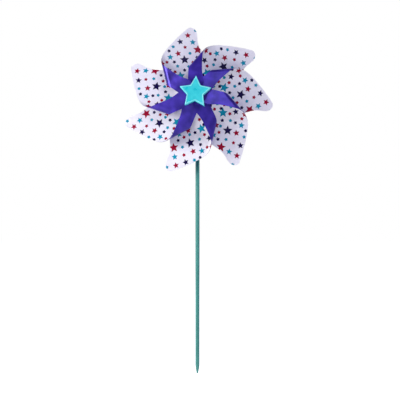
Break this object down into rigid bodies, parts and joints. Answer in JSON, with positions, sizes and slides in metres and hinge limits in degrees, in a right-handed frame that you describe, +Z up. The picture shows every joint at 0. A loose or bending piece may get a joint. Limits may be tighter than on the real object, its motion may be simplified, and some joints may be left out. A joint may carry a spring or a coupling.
{
  "type": "pinwheel",
  "caption": "Garden pinwheel: curled two-tone film vanes round a star-shaped cap, free to spin on a nail through a straight round stick with a blunt pointed end.",
  "frame": {"origin": "centre of the stick's blunt stake end", "axes": "+Z up along the stick; the axle lies along Y and the star faces -Y; +X to the right seen from the star's side"},
  "size_m": [0.1986, 0.0654, 0.4653],
  "materials": {
    "painted_stick": "satin paint",
    "nail_steel": "plain",
    "natural_plastic": "moulded",
    "hub_plastic": "moulded",
    "star_plastic": "moulded, satin",
    "printed_film": "white film printed with stars, violet on its back"
  },
  "bodies": {
    "stick": {"stick": "painted_stick", "axle_nail": "nail_steel", "head_washer": "nail_steel", "tail_cap": "natural_plastic", "rear_spacer": "natural_plastic"},
    "wheel": {"hub_core": "hub_plastic", "hub_sleeve": "hub_plastic", "front_washer": "hub_plastic", "star_cap": "star_plastic", "vane_1": "printed_film", "vane_2": "printed_film", "vane_3": "printed_film", "vane_4": "printed_film", "vane_5": "printed_film", "vane_6": "printed_film", "vane_7": "printed_film"}
  },
  "joints": [
    {"name": "wheel_spin", "type": "hinge", "parent": "stick", "child": "wheel", "pos_m": [0, -0.022, 0.364], "axis": [0, -1, 0], "continuous": true}
  ]
}
